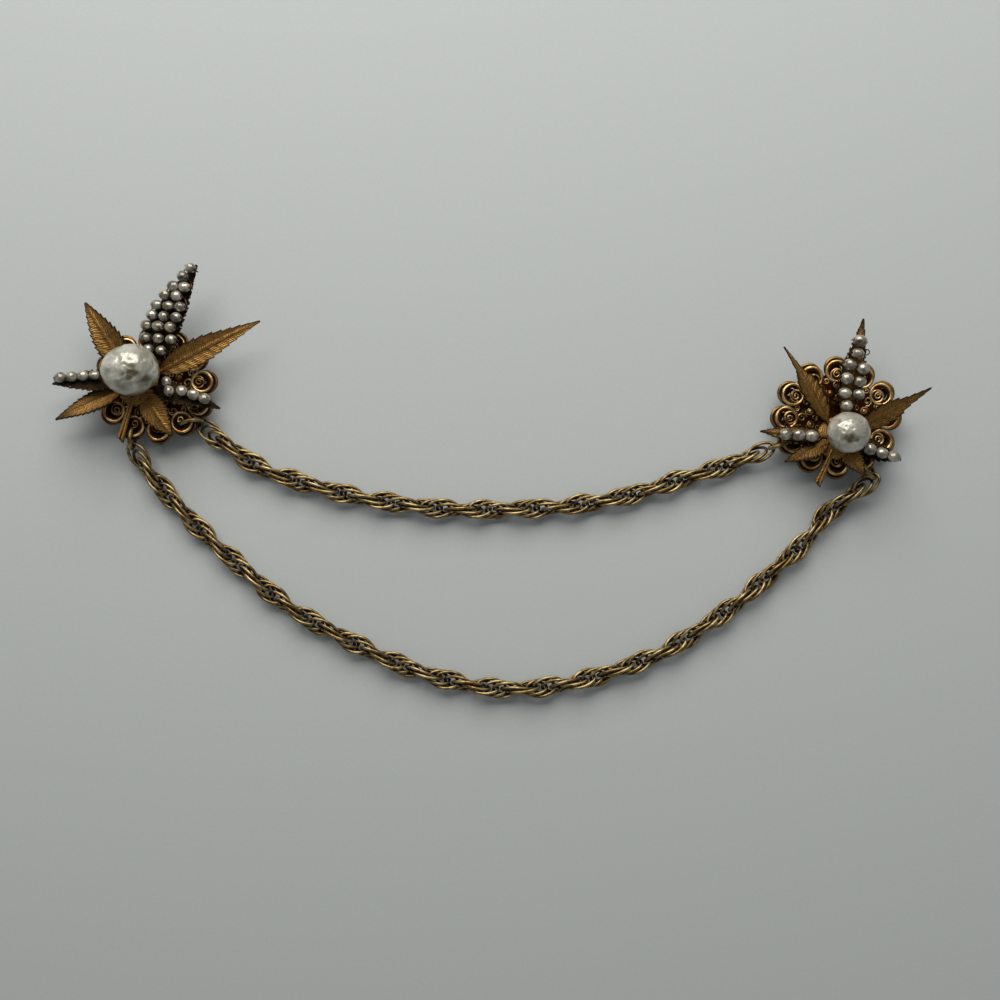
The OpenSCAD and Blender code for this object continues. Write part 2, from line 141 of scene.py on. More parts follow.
class GeometryTree(Tree):
    def __init__(self, name):
        self.tree = bpy.data.node_groups.new(name, "GeometryNodeTree")
        self.tree.interface.new_socket("Geometry", in_out="INPUT", socket_type="NodeSocketGeometry")
        self.tree.interface.new_socket("Geometry", in_out="OUTPUT", socket_type="NodeSocketGeometry")
        self.start = self.tree.nodes.new("NodeGroupInput")
        self.end = self.tree.nodes.new("NodeGroupOutput")
        self.source = Signal(self.tree, self.start.outputs["Geometry"])
        self.given = {}

    # one named input for each size in a dictionary
    def sizes(self, shape):
        for name, value in shape.items():
            kind = "NodeSocketInt" if isinstance(value, int) else "NodeSocketFloat"
            item = self.tree.interface.new_socket(name, in_out="INPUT", socket_type=kind)
            item.default_value = value
            self.given[name] = item.identifier
        return [Signal(self.tree, self.start.outputs[name]) for name in shape]

    def attribute(self, name, kind="FLOAT"):
        return self.node("GeometryNodeInputNamedAttribute", {"data_type": kind}, {"Name": name}, out="Attribute")

    def chance(self, low, high, seed):
        return self.node("FunctionNodeRandomValue", {"data_type": "FLOAT"},
                         {"Min": low, "Max": high, "Seed": seed}, out=1)

    def vector(self, operation, sockets):
        return self.node("ShaderNodeVectorMath", {"operation": operation}, sockets)

    def finish(self, geometry, material):
        whole = self.node("GeometryNodeRealizeInstances", None, {"Geometry": geometry})
        smooth = self.node("GeometryNodeSetShadeSmooth", None, {0: whole})
        done = self.node("GeometryNodeSetMaterial", None, {"Geometry": smooth, "Material": material})
        self.tree.links.new(done.socket, self.end.inputs["Geometry"])


def colour(red, green, blue):
    return tuple((c/255/12.92 if c <= 10 else ((c/255 + 0.055)/1.055)**2.4) for c in (red, green, blue)) + (1.0,)


# "level" is the height of a plate's flat top, below which the metal is painted dark red-brown as shade
# "nook" is the colour of painted shade and dirt in recesses
goldLook = {
    "chain": {"bright": colour(184, 160, 110), "mid": colour(124, 96, 50), "nook": colour(30, 14, 4),
              "roughness": 0.33, "reach": 1.5*mm, "dark": (0.52, 1.0), "grain": 5200, "depth": 0.012*mm},
    "frontPlate": {"bright": colour(236, 202, 138), "mid": colour(160, 114, 62), "nook": colour(24, 11, 6),
                   "roughness": 0.26, "reach": 1.6*mm, "dark": (0.3, 0.85), "grain": 4200, "depth": 0.02*mm,
                   "level": 4.9*mm, "darkening": colour(64, 30, 16)},
    # the back plate and back scrolls are the front's gold painted darker, as shade under the front plate
    "shadedBackPlate": {"bright": colour(160, 124, 72), "mid": colour(106, 76, 42), "nook": colour(18, 10, 6),
                  "roughness": 0.32, "reach": 1.8*mm, "dark": (0.35, 0.95), "grain": 4200, "depth": 0.02*mm,
                  "level": 3.9*mm, "darkening": colour(44, 22, 12)},
    "frontScroll": {"bright": colour(230, 194, 130), "mid": colour(138, 94, 50), "nook": colour(26, 13, 8),
                    "roughness": 0.26, "reach": 1.2*mm, "dark": (0.3, 0.9), "grain": 4200, "depth": 0.02*mm},
    "backScroll": {"bright": colour(134, 98, 56), "mid": colour(78, 50, 28), "nook": colour(16, 9, 6),
                   "roughness": 0.32, "reach": 1.8*mm, "dark": (0.35, 0.95), "grain": 4200, "depth": 0.02*mm},
    "pin": {"bright": colour(200, 165, 105), "mid": colour(160, 120, 70), "nook": colour(50, 34, 18),
            "roughness": 0.35, "reach": 1.2*mm, "dark": (0.2, 0.8), "grain": 3000, "depth": 0.01*mm},
}
# random wear patches, and the band over which painted shade sets in below a plate's level
goldWearAndShade = {"patches": (0.38, 0.62), "levelFrom": 0.16*mm, "levelTo": 0.36*mm, "levelWander": 0.3*mm}


def goldFinish(name, look):
    made = Finish(name)
    wear = made.speckle(look["grain"]/8, 5.0)
    grain = made.speckle(look["grain"], 3.0)
    clearOfShadeAndDirt = made.openness(look["reach"], *look["dark"])
    metal = made.blend(made.step(wear, *goldWearAndShade["patches"]), look["mid"], look["bright"])
    # painted shade: below its plate's flat top the metal takes the dark red-brown colour
    if "level" in look:
        height = made.node("ShaderNodeSeparateXYZ", None, {0: made.place}, out=2)
        raised = made.step(height + wear*goldWearAndShade["levelWander"], look["level"] + goldWearAndShade["levelFrom"],
                           look["level"] + goldWearAndShade["levelTo"])
        metal = made.blend(raised, look["darkening"], metal)
    # the nook colour paints shade and dirt into the recesses
    return made.close(Base_Color=made.blend(clearOfShadeAndDirt, look["nook"], metal), Metallic=0.4 + clearOfShadeAndDirt*0.6,
                      Roughness=look["roughness"] + wear*0.16 + (1 - clearOfShadeAndDirt)*0.3,
                      Normal=made.bump(grain, look["depth"]))


# the attribute "mark" is how dark a point of a leaf or pearl is painted, 0 to 1, partly as painted shade; lines
# and slant follow the veins
# "nook" is the colour of painted shade and dirt in the leaflets' recesses
leafLook = {
    # "edge" is the dark colour the mark paints, partly as shade along the edges
    "bright": colour(180, 136, 74), "mid": colour(104, 74, 35), "edge": colour(38, 27, 12),
    "nook": colour(28, 17, 9), "roughness": 0.44, "reach": 1.2*mm, "dark": (0.2, 0.8),
    "linesPerMm": 1/0.42, "lineSlant": 0.82, "lineWander": 0.7, "lineDepth": 0.07*mm,
    "wander": 700, "patch": 330, "fine": 1700, "grain": 4200,
}


def leafFinish():
    made = Finish("leafGold")
    spot = made.node("ShaderNodeUVMap", {"uv_map": "blade"}, out="UV")
    along = made.node("ShaderNodeSeparateXYZ", None, {0: spot}, out=0)
    across = made.node("ShaderNodeSeparateXYZ", None, {0: spot}, out=1)
    run = along*(1/mm) - across.absolute()*(leafLook["lineSlant"]/mm)
    run += made.speckle(leafLook["wander"], 3.0)*leafLook["lineWander"]
    line = (run*(2*math.pi*leafLook["linesPerMm"])).sine()*0.5 + 0.5
    patch = made.speckle(leafLook["patch"])
    fine = made.speckle(leafLook["fine"])
    grain = made.speckle(leafLook["grain"], 3.0)
    clearOfShadeAndDirt = made.openness(leafLook["reach"], *leafLook["dark"])
    # painted highlight: the blade is lighter along the vein lines; the patches and flecks are random tone
    metal = made.blend(made.step(line*0.3 + patch*0.4 + fine*0.8, 0.5, 0.95), leafLook["mid"], leafLook["bright"])
    # the mark paints the leaflet darker in the edge colour: painted shade along its edges, and each leaflet's own
    # darkness
    dark = made.step(made.mark() + patch*0.8 + fine*0.7 - 0.75, 0.25, 0.9)
    metal = made.blend(dark, metal, leafLook["edge"])
    # the nook colour paints shade and dirt into the recesses
    return made.close(Base_Color=made.blend(clearOfShadeAndDirt, leafLook["nook"], metal), Metallic=0.62 + clearOfShadeAndDirt*0.3,
                      Roughness=leafLook["roughness"] + patch*0.16 - line*0.08,
                      Normal=made.bump(line*0.6 + fine*0.9 + grain*0.5, leafLook["lineDepth"]))


pearlLook = {
    "center": {"light": colour(210, 207, 194), "mid": colour(158, 154, 138), "dent": colour(92, 81, 58),
               "roughness": 0.24, "metal": 0.3, "grain": 620, "depth": 0.34*mm, "patch": 190},
    "seed": {"light": colour(192, 185, 168), "mid": colour(122, 114, 98), "dent": colour(40, 34, 26),
             "roughness": 0.2, "metal": 0.55, "grain": 1500, "depth": 0.08*mm, "patch": 600},
}


def pearlFinish(name, look):
    made = Finish(name)
    patch = made.speckle(look["patch"], 2.0)
    ripple = made.speckle(look["grain"], 1.5)
    base = made.blend(made.step(patch, 0.35, 0.65), look["mid"], look["light"])
    # the mark paints shade in the dent colour: in pits, creases and hollows, and towards a pearl's rim
    base = made.blend(made.step(made.mark() + patch*0.3 - 0.15, 0.2, 0.95), base, look["dent"])
    return made.close(Base_Color=base, Metallic=look["metal"], Roughness=look["roughness"] + patch*0.1,
                      Coat_Weight=0.6, Coat_Roughness=0.16, Coat_IOR=1.5,
                      Normal=made.bump(ripple, look["depth"]))


wireLook = {"dark": colour(34, 24, 16), "worn": colour(112, 82, 48), "patch": 1800, "depth": 0.01*mm}


def wireFinish():
    made = Finish("darkWire")
    patch = made.speckle(wireLook["patch"])
    base = made.blend(made.step(patch, 0.4, 0.65), wireLook["dark"], wireLook["worn"])
    return made.close(Base_Color=base, Metallic=0.85, Roughness=0.34 + patch*0.25,
                      Normal=made.bump(patch, wireLook["depth"]))


finishes = {
    "chainGold": goldFinish("chainGold", goldLook["chain"]),
    "frontGold": goldFinish("frontGold", goldLook["frontPlate"]),
    "frontScroll": goldFinish("frontScroll", goldLook["frontScroll"]),
    "backScroll": goldFinish("backScroll", goldLook["backScroll"]),
    "backGold": goldFinish("backGold", goldLook["shadedBackPlate"]),
    "pinMetal": goldFinish("pinMetal", goldLook["pin"]),
    "leafGold": leafFinish(),
    "centerPearl": pearlFinish("centerPearl", pearlLook["center"]),
    "seedPearl": pearlFinish("seedPearl", pearlLook["seed"]),
    "darkWire": wireFinish(),
}
cadFinish = {"front_filigree": "frontGold", "back_filigree": "backGold", "leaf_spray": "leafGold",
             "seed_pearls": "seedPearl", "binding_wires": "darkWire", "center_pearl": "centerPearl",
             "pearl_post": "frontGold", "pin": "pinMetal", "ring": "chainGold", "chain": "chainGold"}
for name, thing in nodes.items():
    key = next(k for k in cadFinish if name.endswith(k))
    for slot in thing.material_slots:
        slot.material = finishes[cadFinish[key]]
print("finishes ready")


def settle(name, mesh, replaces=()):
    piece = bpy.data.objects.new(name, mesh)
    bpy.context.scene.collection.objects.link(piece)
    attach(piece, "root")
    if replaces:
        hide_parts(*replaces)


# a piece from points and faces in mm, with the blade's own map and marks where it has them
def makePiece(name, points, faces, finish, replaces=(), uv=None, marks=None):
    mesh = bpy.data.meshes.new(name)
    mesh.from_pydata((np.asarray(points, float)*mm).tolist(), [], faces)
    mesh.polygons.foreach_set("use_smooth", [True]*len(mesh.polygons))
    if uv is not None:
        layer = mesh.uv_layers.new(name="blade")
        corner = np.zeros(len(mesh.loops), int)
        mesh.loops.foreach_get("vertex_index", corner)
        layer.data.foreach_set("uv", (np.asarray(uv, float)[corner]*mm).ravel())
    if marks is not None:
        mesh.attributes.new("mark", "FLOAT", "POINT").data.foreach_set("value", np.asarray(marks, float))
    mesh.materials.append(finishes[finish])
    settle(name, mesh, replaces)


# a Geometry Nodes tree's result on a mesh of points, as a plain piece
def grow(name, tree, values, base, replaces=()):
    carrier = bpy.data.objects.new(name + "Carrier", base)
    bpy.context.scene.collection.objects.link(carrier)
    modifier = carrier.modifiers.new("grow", "NODES")
    modifier.node_group = tree.tree
    for key, value in values.items():
        modifier[tree.given[key]] = value
    graph = bpy.context.evaluated_depsgraph_get()
    plain = bpy.data.meshes.new_from_object(carrier.evaluated_get(graph))
    carrier.modifiers.clear()
    bpy.data.objects.remove(carrier)
    plain.name = name
    settle(name, plain, replaces)


# bare points in mm, each with values that a tree can read
def pointMesh(name, spots, **values):
    mesh = bpy.data.meshes.new(name)
    mesh.from_pydata((np.array(spots)*mm).tolist(), [], [])
    for key, value in values.items():
        value = np.array(value, float)
        kind, field = ("FLOAT_VECTOR", "vector") if value.ndim == 2 else ("FLOAT", "value")
        mesh.attributes.new(key, kind, "POINT").data.foreach_set(field, value.ravel())
    return mesh


# a shape that a tree puts at each point; it isn't in the scene itself
def templateObject(name, points, faces):
    mesh = bpy.data.meshes.new(name)
    mesh.from_pydata([tuple(p) for p in points], [], faces)
    return bpy.data.objects.new(name, mesh)


# quads between rings of points, which are numbered ring by ring from first on
def ringFaces(rings, around, first=0, closed=False, flip=False):
    faces = []
    for i in range(rings if closed else rings - 1):
        low, high = first + i*around, first + (i + 1) % rings*around
        for j in range(around):
            k = (j + 1) % around
            corners = (low + j, low + k, high + k, high + j)
            faces.append(corners[:1] + corners[:0:-1] if flip else corners)
    return faces


def spin(points, degrees):
    turn = math.radians(degrees)
    c, s = math.cos(turn), math.sin(turn)
    out = np.array(points, float)
    out[..., 0], out[..., 1] = points[..., 0]*c - points[..., 1]*s, points[..., 0]*s + points[..., 1]*c
    return out


# A leaflet has the way it points, its length and width, its bow to the side, its rise at the tip, the hump on
# its way there, its tilt, and how far its edges curl up. A row of seed pearls has its leaflet's number, where it
# starts along and across the leaflet, its count, and the step from pearl to pearl. A lump is the way to it from
# the pearl's middle, its height and its spread, and a dent the way, its spread and how dark it is.
# All are in mm and degrees, as the solids have them, but for the dents.
Leaf = namedtuple("Leaf", "way length width bow rise hump tilt curl")
PearlRow = namedtuple("PearlRow", "leaf along across count stepAlong stepAcross")
# Per brooch, one list gives how dark each leaflet is painted, "pinch" how much narrower its tip is, and "teeth"
# how many teeth a leaflet's side has and how deep they are cut
brooches = {
    "left": {
        "rosette": (-66.3, 19.1), "scale": 0.96, "turn": 5, "root": (-69.3, 19.3), "width": 40.8,
        "stem": (-107, 11.4), "pearl": (-69.1, 21.6), "pearlSize": (11.3, 9.9, 9.4), "pearlTurn": 8,
        "seed": 2.05, "noiseAt": (3.1, 1.7, 0.4), "pearlSeed": 4, "lumpSeed": 5, "knotSeed": 15,
        "lumps": [(0.6, -0.5, 0.6, -0.05, 0.35), (0.1, -0.7, 0.7, -0.06, 0.3), (-0.7, 0.2, 0.6, 0.03, 0.5),
                  (0.3, 0.5, 0.8, 0.03, 0.4), (0.8, 0.3, -0.2, -0.04, 0.5)],
        "dents": [(-0.1, -0.2, 0.98, 0.2, 0.8), (0.26, -0.22, 0.93, 0.26, 1.0), (0.1, -0.42, 0.9, 0.15, 0.9),
                  (0.55, -0.55, 0.63, 0.3, 0.8), (-0.6, -0.1, 0.78, 0.3, 0.35), (0.62, 0.4, 0.66, 0.3, 0.4),
                  (-0.35, -0.6, 0.72, 0.25, 0.4)],
        "leaves": [(62, 26, 7.2, 0.2, 2.4, 0.8, -18, 0), (26.2, 27.3, 5.2, 0, 2.2, 1.6, 14, 0.3),
                   (-16.2, 17.1, 4.6, 0.5, 0.4, 0.9, -30, 0), (-55.3, 12.4, 5.6, 0, 0.3, 0.8, 10, 0.3),
                   (204, 17.2, 4.9, 0, 0.6, 0.9, 30, 0.3), (180, 16.2, 5, -0.7, 1, 1, 34, 0),
                   (121.5, 18.4, 6, 0, 1.8, 1.2, -12, 0.3)],
        "darkening": [0.85, 0.1, 0.95, 0.15, 0.4, 0.95, 0.2], "pinch": [0, 0.1, 0, 0, 0, 0, 0],
        "teeth": (14, 0.16),
        "rows": [(0, 7.2, 0, 2, 0.9, -2.7), (0, 8.9, 1.6, 3, 1, -2.6), (0, 11.1, 2.7, 3, 0.9, -2.5),
                 (0, 13.3, 2.5, 3, 0.9, -2.5), (0, 15.5, 2.6, 3, 0.9, -2.4), (0, 17.9, 2, 2, 0.9, -2.4),
                 (0, 20.2, 1.3, 2, 0.8, -2.3), (0, 22.7, 0.5, 1, 0, 0), (0, 24.85, -0.1, 1, 0, 0),
                 (2, 5.8, 1, 2, 1.2, -1.9), (2, 9.4, -0.1, 3, 2.3, 0), (5, 7.6, 0, 4, 2.2, 0)],
    },
    "right": {
        "rosette": (68.1, 12.8), "scale": 1.0, "turn": 0, "root": (68, 8.7), "width": 32.8,
        "stem": (-114, 9.8), "pearl": (68.9, 9.6), "pearlSize": (8.4, 8, 7.4), "pearlTurn": 0,
        "seed": 2.3, "noiseAt": (7.3, 2.2, 5.9), "pearlSeed": 9, "lumpSeed": 12, "knotSeed": 16,
        "lumps": [(0.2, -0.5, 0.8, -0.05, 0.35), (-0.5, 0.2, 0.8, 0.03, 0.4), (0.7, 0.4, 0.5, 0.03, 0.5),
                  (-0.6, -0.6, 0.3, -0.04, 0.4)],
        "dents": [(-0.08, -0.34, 0.93, 0.3, 1.0), (-0.38, -0.3, 0.87, 0.2, 0.8), (0.25, -0.4, 0.88, 0.2, 0.8),
                  (0.75, 0.1, 0.65, 0.25, 0.5), (-0.6, 0.5, 0.63, 0.3, 0.4)],
        "leaves": [(79.4, 23.5, 4.8, -0.1, 2.4, 0.8, 4, 0.1), (29.3, 19.6, 5.2, 0, 3.4, 0.8, 34, 0.4),
                   (-19.7, 12.8, 4.6, 0, 0.3, 0.8, -16, 0), (-56, 8.8, 4.4, 0, 0.2, 0.8, 10, 0.3),
                   (204, 11.4, 4.2, 0, 0.2, 0.9, 24, 0.3), (175, 15.3, 3.8, 0, 0.8, 0.9, 10, 0),
                   (122.3, 20.8, 5.8, 0, 3.4, 0.8, 32, 0.4)],
        "darkening": [0.4, 0.2, 0.85, 0.3, 0.5, 0.55, 0.3], "pinch": [0, 0.35, 0, 0, 0, 0, 0.55],
        "teeth": (11, 0.24),
        "rows": [(0, 6.3, 0.3, 1, 0, 0), (0, 8.6, 1.2, 2, 0.2, -2.7), (0, 11.4, 1.4, 2, -0.2, -2.6),
                 (0, 14.1, 1.4, 2, -0.3, -2.7), (0, 16.4, 0.3, 1, 0, 0), (0, 18.9, 0.3, 1, 0, 0),
                 (2, 6, -0.7, 3, 2.45, 0.1), (5, 5.7, 0.4, 3, 2.6, 0.1)],
    },
}
for brooch in brooches.values():
    brooch["leaves"] = [Leaf(*row) for row in brooch["leaves"]]
    brooch["rows"] = [PearlRow(*row) for row in brooch["rows"]]


# the spray: a hub of folded sheet, lying this high, with the leaflets and stem running in under its edge
hubShape = {"height": 5.9, "thick": 0.6, "radius": 4.2, "middle": 0.02, "around": 84, "rings": 14,
            "folds": 7, "fold": 0.07, "foldTurn": 1.1, "dome": 0.12, "inset": 0.02, "edgeDrop": 0.18,
            "mapWave": 0.4, "mark": 0.3}
leafShape = {"foot": 0.2, "under": 0.8, "thick": 0.5, "thinning": 0.3, "rib": 0.22, "ribFade": 0.8,
             "start": 1.6, "stepsPerTooth": 9, "halfColumns": 13, "columnPower": 0.85,
             "toothPower": 1.3, "toothLean": 0.27, "pinchFrom": 0.6, "pinchRun": 0.14, "curlPower": 1.7,
             "veinHeight": 0.075, "veinLean": 0.85, "veinSharp": 5.0, "ribWidth": 0.3, "ribProud": 0.1,
             "ribSlope": 0.35, "tipFade": 6, "underside": (0.95, 0.45), "edgeShade": 0.75, "tipMark": 0.5}
stemShape = {"steps": 30, "around": 28, "start": 2.5, "radius": 0.5, "swell": 0.3, "height": -0.15, "fall": 2,
             "flat": 0.85, "groove": 0.34, "grooveWidth": 0.4, "slant": 0.45,
             "mark": 0.15, "grooveShade": 0.7, "grooveShadeWidth": 0.25, "endMark": 0.4}


def onSpray(brooch):
    return np.array([*brooch["root"], hubShape["height"] + hubShape["thick"]])


# a leaflet's share of its full width, t of the way to its tip, as the solids have it
def leafWidth(t):
    u = max(0.0, t - leafShape["foot"])/(1 - leafShape["foot"])
    blade = max(0.0, math.sin(math.pi*u**0.72))**0.95*(1.08 - 0.3*u)
    return 0.2*(1 - t)**2 + 0.07 + blade


# the middle of a leaflet, and the ways across its face and out of it
def leafLine(leaf, along):
    t = along/leaf.length
    edge = (hubShape["radius"] - leafShape["under"])/leaf.length
    u = max(0.0, t - edge)/(1 - edge)
    tilt = math.radians(leaf.tilt)
    middle = np.array([along, leaf.bow*math.sin(math.pi*t), leaf.rise*u + leaf.hump*4*u*(1 - u)])
    return middle, np.array([0, math.cos(tilt), math.sin(tilt)]), np.array([0, -math.sin(tilt), math.cos(tilt)])


def leaflet(leaf, darkening, pinch, teeth, toothDepth):
    each, half = leafShape["stepsPerTooth"], leafShape["halfColumns"]
    first = leafShape["start"]/leaf.length
    rows = teeth*each
    columns = [math.copysign(abs(j/half)**leafShape["columnPower"], j) for j in range(-half, half + 1)]
    top, low, uv, marks = [], [], [], []
    for i in range(rows + 1):
        t = first + (1 - first)*i/rows
        tooth = ((i % each)/each)**leafShape["toothPower"] if i < rows else 0.0
        width = leaf.width/2*leafWidth(t)*(1 - toothDepth*(1 - tooth))
        width *= 1 - pinch*min(1, max(0, (t - leafShape["pinchFrom"])/leafShape["pinchRun"]))
        fade = min(1.0, (1 - t)*leafShape["tipFade"])
        rib = leafShape["rib"]*(1 - leafShape["ribFade"]*t)
        thick = leafShape["thick"]*(1 - leafShape["thinning"]*t)
        curl = leaf.curl*leafWidth(t)
        middle, over, up = leafLine(leaf, t*leaf.length)
        for s in columns:
            out, across = abs(s), s*width
            vein = (t*leaf.length - abs(across)*leafShape["veinLean"])/((1 - first)*leaf.length/teeth) % 1.0
            ridge = max(0.0, 1 - abs(vein - 0.5)*leafShape["veinSharp"])*min(1, out*5)*(1 - out**6)
            lift = curl*out**leafShape["curlPower"] + leafShape["veinHeight"]*ridge*fade
            lift += (rib + leafShape["ribProud"])*math.exp(-(across/leafShape["ribWidth"])**2)*fade
            lift += rib*leafShape["ribSlope"]*(1 - out)
            drop = lift - thick*(leafShape["underside"][0] - leafShape["underside"][1]*out**2)
            lean = np.array([leafShape["toothLean"]*tooth*out**3*fade, 0, 0])
            top.append(middle + lean + across*over + lift*up)
            low.append(middle + lean + across*over + drop*up)
            uv.append((t*leaf.length, across))
            # painted shade: the leaflet is darker towards its edges; its tip is darker too
            marks.append(min(1.0, darkening + leafShape["edgeShade"]*out**6 + leafShape["tipMark"]*t**9))
    wide, count = len(columns), len(top)
    faces = []
    for i in range(rows):
        for j in range(wide - 1):
            a = i*wide + j
            faces.append((a, a + wide, a + wide + 1, a + 1))
            faces.append((count + a, count + a + 1, count + a + wide + 1, count + a + wide))
        a, b = i*wide, i*wide + wide - 1
        faces.append((a, count + a, count + a + wide, a + wide))
        faces.append((b, b + wide, count + b + wide, count + b))
    for j in range(wide - 1):
        faces.append((j, j + 1, count + j + 1, count + j))
        a = rows*wide + j
        faces.append((a, count + a, count + a + 1, a + 1))
    return spin(np.array(top + low), leaf.way), faces, uv + uv, marks + marks


def hub():
    around, rings, thick = hubShape["around"], hubShape["rings"], hubShape["thick"]
    points, uv = [], []
    for isTop in (True, False):
        for i in range(rings + 1):
            share = i/rings
            r = hubShape["radius"]*share if i else hubShape["middle"]
            for j in range(around):
                a = 2*math.pi*j/around
                z = -thick
                if isTop:
                    fold = hubShape["fold"]*math.cos(hubShape["folds"]*a - hubShape["foldTurn"])*share
                    z = fold + hubShape["dome"]*(1 - share**2) - hubShape["inset"]
                    z -= hubShape["edgeDrop"] if i == rings else 0
                points.append((r*math.cos(a), r*math.sin(a), z))
                uv.append((r, hubShape["mapWave"]*math.sin(hubShape["folds"]*a)))
    under = (rings + 1)*around
    faces = ringFaces(rings + 1, around, flip=True) + ringFaces(rings + 1, around, first=under)
    for j in range(around):
        k, rim = (j + 1) % around, rings*around
        faces.append((rim + j, under + rim + j, under + rim + k, rim + k))
        faces.append((j, k, under + k, under + j))
    return np.array(points), faces, uv, [hubShape["mark"]]*len(points)


# the stem, grooved on top and cut off aslant
def stem(direction, length):
    steps, around, start = stemShape["steps"], stemShape["around"], stemShape["start"]
    points, uv, marks = [], [], []
    for i in range(steps + 1):
        share = i/steps
        x = start + (length - start)*share
        r = stemShape["radius"] + stemShape["swell"]*share**1.5
        z = stemShape["height"] - math.tan(math.radians(stemShape["fall"]))*(x - start)
        for j in range(around):
            a = 2*math.pi*j/around
            side, up = math.cos(a), math.sin(a)
            groove = stemShape["groove"]*math.exp(-(side/stemShape["grooveWidth"])**2)*(up > 0)*min(1, share*4)
            points.append((x + stemShape["slant"]*side*share**12, r*side,
                           z + r*(up*(stemShape["flat"] if up > 0 else 1.0) - groove)))
            uv.append((x, side*r))
            # painted shade: the groove on top is marked darker
            inGroove = math.exp(-(side/stemShape["grooveShadeWidth"])**2)*(up > 0)
            marks.append(stemShape["mark"] + stemShape["grooveShade"]*inGroove + stemShape["endMark"]*share**16)
    faces = ringFaces(steps + 1, around)
    faces.append(tuple(range(around))[::-1])
    faces.append(tuple(steps*around + j for j in range(around)))
    return spin(np.array(points), direction), faces, uv, marks


# how far the solid's own leaflets reach along X before they are drawn out to the full width
def plainWidth(leaves):
    reach = []
    for leaf in leaves:
        for t in (0.5, 0.8, 0.97, 1.0):
            middle, over, up = leafLine(leaf, t*leaf.length)
            half = leaf.width/2*leafWidth(t)*over[1]
            for side in (-1, 1):
                reach.append(spin(np.array([middle[0], middle[1] + side*half, 0]), leaf.way)[0])
    return max(reach) - min(reach)


for side, brooch in brooches.items():
    parts = [leaflet(leaf, darkening, pinch, *brooch["teeth"])
             for leaf, darkening, pinch in zip(brooch["leaves"], brooch["darkening"], brooch["pinch"])]
    parts += [hub(), stem(*brooch["stem"])]
    faces, uv, marks, count = [], [], [], 0
    for somePoints, someFaces, someUv, someMarks in parts:
        faces += [tuple(count + k for k in face) for face in someFaces]
        uv += someUv
        marks += someMarks
        count += len(somePoints)
    points = np.concatenate([part[0] for part in parts])
    points[:, 0] *= brooch["width"]/plainWidth(brooch["leaves"])
    makePiece(side + "LeafSpray", points + onSpray(brooch), faces, "leafGold",
              (side + "_leaf_spray",), uv, marks)
print("leaf sprays ready")


# the skin wanders between the lumps, folds in sharp creases and has pits painted dark as shade; "rest" is how high
# a pearl sits
pearlShape = {"around": 180, "rows": 110, "rest": 1, "lumps": 0.9, "wrinkle": 0.02, "crease": 0.03, "pit": 0.03,
              "most": 1.02, "bend": 0.12, "rimShade": 0.55, "creaseShade": 9, "wrinkleShade": 6, "noiseSeed": 3}
noise.seed_set(pearlShape["noiseSeed"])  # without it noise_vector changes from run to run


def sphereGrid(around, rows):
    angles = [(math.pi*(i/rows - 0.5), 2*math.pi*j/around) for i in range(1, rows) for j in range(around)]
    ways = [(0, 0, -1)] + [(math.cos(b)*math.cos(a), math.cos(b)*math.sin(a), math.sin(b)) for b, a in angles]
    ways.append((0, 0, 1))
    top = len(ways) - 1
    faces = [(0, 1 + (j + 1) % around, 1 + j) for j in range(around)]
    faces += ringFaces(rows - 1, around, first=1)
    faces += [(top, top - around + j, top - around + (j + 1) % around) for j in range(around)]
    return ways, faces


def centerPearl(side, brooch):
    ways, faces = sphereGrid(pearlShape["around"], pearlShape["rows"])
    size = np.array(brooch["pearlSize"])/2
    offset = Vector(brooch["noiseAt"])
    points, marks = [], []
    for way in ways:
        place = Vector(way)
        bent = place + pearlShape["bend"]*Vector(noise.noise_vector(place*4 + offset))
        swell = sum(height*math.exp(-(math.dist(way, middle)/spread)**2)
                    for *middle, height, spread in brooch["lumps"])
        pit = max(dark*math.exp(-(math.dist(bent, middle)/spread)**2) for *middle, spread, dark in brooch["dents"])
        ripple = noise.noise(place*2.6 + offset)*pearlShape["wrinkle"]
        crease = -abs(noise.noise(place*4.4 + offset*2))*pearlShape["crease"]
        r = 1 + swell*pearlShape["lumps"] + ripple + crease - pearlShape["pit"]*pit
        points.append(np.array(way)*size*min(pearlShape["most"], r))
        # painted shade: darker towards the rim and underside, in the creases, where the wrinkles sink and in the
        # pits
        rim = (1 - max(0.0, way[2]))**2
        dark = pit - crease*pearlShape["creaseShade"] - ripple*pearlShape["wrinkleShade"] + pearlShape["rimShade"]*rim
        marks.append(min(1.0, max(0.0, dark)))
    height = onSpray(brooch)[2] + pearlShape["rest"] + size[2]
    points = spin(np.array(points), brooch["pearlTurn"]) + np.array([*brooch["pearl"], height])
    makePiece(side + "CenterPearl", points, faces, "centerPearl", (side + "_center_pearl",),
              marks=marks)


for side, brooch in brooches.items():
    centerPearl(side, brooch)
print("centre pearls ready")


# "Longer" is how much longer a seed pearl is along its hole than across; the radius and seed are each brooch's own
seedShape = {"Pearl radius": 1.0*mm, "Longer": 0.16, "Squash": 0.08, "Uneven": 0.14*mm, "Lumps": 800.0, "Seed": 5}
seedRow = {"lift": 0.25, "sizes": (0.95, 1.06)}
drilled = {"hole": 0.3, "around": 26, "rows": 16, "chamfer": 0.05, "hardly": 0.96}


